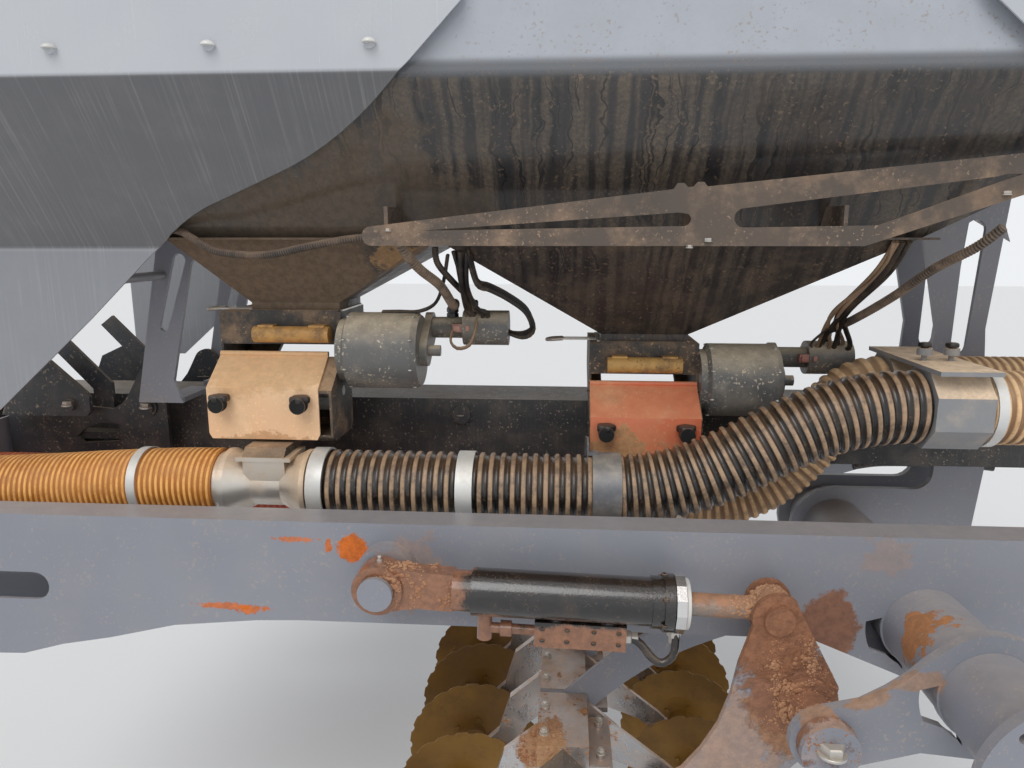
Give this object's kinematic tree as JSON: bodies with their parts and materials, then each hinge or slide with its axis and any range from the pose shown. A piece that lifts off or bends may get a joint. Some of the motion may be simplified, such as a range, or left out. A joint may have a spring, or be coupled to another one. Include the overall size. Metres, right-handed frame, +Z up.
{
  "type": "seed drill hopper section",
  "caption": "Hopper and metering section of a folding seed drill, with ribbed air lines and a disc carrier that two hydraulic cylinders lift",
  "frame": {"origin": "Centre of the front end flange of the spine beam, on its outer face, where this section bolts to the rest of the chassis.", "axes": "X runs back along the machine from that flange, Y runs across it away from the side with the metering units, and Z is up."},
  "size_m": [3.21, 2.24, 2.72],
  "materials": {
    "arm_steel": "worn, rusty at the edges",
    "bare_steel": "dull",
    "black_hose": "dusty ribs",
    "brace_paint": "dusty brown paint",
    "cable_black": "dusty",
    "cylinder_black": "glossy black, muddy",
    "dark_frame_paint": "weathered dark paint",
    "disc_steel": "rusty brown",
    "drive_black": "dusty black",
    "frame_paint": "weathered blue-grey paint",
    "hopper_paint": "dusty dark grey paint",
    "ochre_paint": "ochre paint, speckled with rust",
    "orange_hose": "faded, ribbed",
    "red_flap_paint": "faded red-orange paint",
    "red_hose": "faded, ribbed",
    "rod_steel": "muddy",
    "roller_plastic": "matt",
    "selector_plastic": "dusty",
    "sheet_paint": "rain-streaked light grey paint",
    "tan_hose": "dusty ribs",
    "unit_paint": "dust-covered clay paint"
  },
  "bodies": {
    "frame": {"spine_beam": "dark_frame_paint", "hangers": "frame_paint", "side_beams": "frame_paint", "rear_cross_tube": "frame_paint", "front_cross_tube": "frame_paint", "outer_plates": "frame_paint", "front_legs": "frame_paint", "rear_legs": "frame_paint", "head_plates": "dark_frame_paint", "braces": "brace_paint", "hopper_tank": "hopper_paint", "hopper_funnel_front": "hopper_paint", "hopper_funnel_rear": "hopper_paint", "hopper_partition": "hopper_paint", "fairings_front": "sheet_paint", "fairings_rear": "sheet_paint", "meter_housings": "unit_paint", "meter_rollers": "roller_plastic", "roller_covers": "ochre_paint", "meter_drives": "drive_black", "injectors": "bare_steel", "hose_near_front": "orange_hose", "hose_near_middle": "black_hose", "hose_near_riser": "black_hose", "hose_near_rear": "tan_hose", "hose_far_front": "red_hose", "hose_far_riser": "tan_hose", "hose_far_rear": "tan_hose", "selector_box": "selector_plastic", "hose_clamps": "bare_steel", "harness": "cable_black", "air_bulkhead_front": "frame_paint", "air_bulkhead_rear": "frame_paint"},
    "lid_front": {"lid_front": "sheet_paint"},
    "lid_rear": {"lid_rear": "sheet_paint"},
    "flap_front": {"meter_flap_front": "unit_paint"},
    "flap_rear": {"meter_flap_rear": "red_flap_paint"},
    "gate_front": {"gate_front": "bare_steel"},
    "gate_rear": {"gate_rear": "bare_steel"},
    "carrier": {"rocker_shaft": "frame_paint", "cranks": "frame_paint", "carrier_arms": "frame_paint", "tool_bar": "dark_frame_paint", "disc_arms": "arm_steel"},
    "barrel_near": {"barrel_near": "cylinder_black"},
    "barrel_far": {"barrel_far": "cylinder_black"},
    "rod_near": {"rod_near": "rod_steel"},
    "rod_far": {"rod_far": "rod_steel"},
    "disc_front_1": {"disc_front_1": "disc_steel"},
    "disc_front_2": {"disc_front_2": "disc_steel"},
    "disc_front_3": {"disc_front_3": "disc_steel"},
    "disc_front_4": {"disc_front_4": "disc_steel"},
    "disc_front_5": {"disc_front_5": "disc_steel"},
    "disc_rear_1": {"disc_rear_1": "disc_steel"},
    "disc_rear_2": {"disc_rear_2": "disc_steel"},
    "disc_rear_3": {"disc_rear_3": "disc_steel"},
    "disc_rear_4": {"disc_rear_4": "disc_steel"},
    "disc_rear_5": {"disc_rear_5": "disc_steel"}
  },
  "joints": [
    {"name": "carrier_lift", "type": "hinge", "parent": "frame", "child": "carrier", "pos_m": [2.205, 0, -0.397], "axis": [0, 1, 0], "range_deg": [-15, 10]},
    {"name": "barrel_near_tilt", "type": "hinge", "parent": "frame", "child": "barrel_near", "pos_m": [1.314, -0.712, -0.191], "axis": [0, 1, 0], "range_deg": [-1.2, 1.7]},
    {"name": "rod_near_slide", "type": "slide", "parent": "barrel_near", "child": "rod_near", "axis": [0.9996, 0, -0.029], "range_m": [-0.047, 0.0315]},
    {"name": "barrel_far_tilt", "type": "hinge", "parent": "frame", "child": "barrel_far", "pos_m": [1.314, 0.712, -0.191], "axis": [0, 1, 0], "range_deg": [-1.2, 1.7]},
    {"name": "rod_far_slide", "type": "slide", "parent": "barrel_far", "child": "rod_far", "axis": [0.9996, 0, -0.029], "range_m": [-0.047, 0.0315]},
    {"name": "disc_front_1_spin", "type": "hinge", "parent": "carrier", "child": "disc_front_1", "pos_m": [1.42, -0.495, -1], "axis": [0.1736, -0.9848, 0], "continuous": true},
    {"name": "disc_front_2_spin", "type": "hinge", "parent": "carrier", "child": "disc_front_2", "pos_m": [1.42, -0.265, -1], "axis": [0.1736, -0.9848, 0], "continuous": true},
    {"name": "disc_front_3_spin", "type": "hinge", "parent": "carrier", "child": "disc_front_3", "pos_m": [1.42, -0.035, -1], "axis": [0.1736, -0.9848, 0], "continuous": true},
    {"name": "disc_front_4_spin", "type": "hinge", "parent": "carrier", "child": "disc_front_4", "pos_m": [1.42, 0.195, -1], "axis": [0.1736, -0.9848, 0], "continuous": true},
    {"name": "disc_front_5_spin", "type": "hinge", "parent": "carrier", "child": "disc_front_5", "pos_m": [1.42, 0.425, -1], "axis": [0.1736, -0.9848, 0], "continuous": true},
    {"name": "disc_rear_1_spin", "type": "hinge", "parent": "carrier", "child": "disc_rear_1", "pos_m": [2.11, -0.38, -1], "axis": [-0.1736, -0.9848, 0], "continuous": true},
    {"name": "disc_rear_2_spin", "type": "hinge", "parent": "carrier", "child": "disc_rear_2", "pos_m": [2.11, -0.15, -1], "axis": [-0.1736, -0.9848, 0], "continuous": true},
    {"name": "disc_rear_3_spin", "type": "hinge", "parent": "carrier", "child": "disc_rear_3", "pos_m": [2.11, 0.08, -1], "axis": [-0.1736, -0.9848, 0], "continuous": true},
    {"name": "disc_rear_4_spin", "type": "hinge", "parent": "carrier", "child": "disc_rear_4", "pos_m": [2.11, 0.31, -1], "axis": [-0.1736, -0.9848, 0], "continuous": true},
    {"name": "disc_rear_5_spin", "type": "hinge", "parent": "carrier", "child": "disc_rear_5", "pos_m": [2.11, 0.54, -1], "axis": [-0.1736, -0.9848, 0], "continuous": true},
    {"name": "lid_front_hinge", "type": "hinge", "parent": "frame", "child": "lid_front", "pos_m": [0.94, 0.701, 1.454], "axis": [-1, 0, 0], "range_deg": [0, 100]},
    {"name": "lid_rear_hinge", "type": "hinge", "parent": "frame", "child": "lid_rear", "pos_m": [2.2, 0.701, 1.454], "axis": [-1, 0, 0], "range_deg": [0, 100]},
    {"name": "flap_front_hinge", "type": "hinge", "parent": "frame", "child": "flap_front", "pos_m": [0.956, -0.319, 0.246], "axis": [-1, 0, 0], "range_deg": [0, 90]},
    {"name": "flap_rear_hinge", "type": "hinge", "parent": "frame", "child": "flap_rear", "pos_m": [1.914, -0.194, 0.156], "axis": [-1, 0, 0], "range_deg": [0, 90]},
    {"name": "gate_front_slide", "type": "slide", "parent": "frame", "child": "gate_front", "axis": [-1, 0, 0], "range_m": [0, 0.2]},
    {"name": "gate_rear_slide", "type": "slide", "parent": "frame", "child": "gate_rear", "axis": [-1, 0, 0], "range_m": [0, 0.2]}
  ],
  "couplings": [
    {"joint": "barrel_near_tilt", "follows": "carrier_lift", "ratio": -0.1},
    {"joint": "rod_near_slide", "follows": "carrier_lift", "m_per_rad": 0.176},
    {"joint": "barrel_far_tilt", "follows": "carrier_lift", "ratio": -0.1},
    {"joint": "rod_far_slide", "follows": "carrier_lift", "m_per_rad": 0.176}
  ]
}
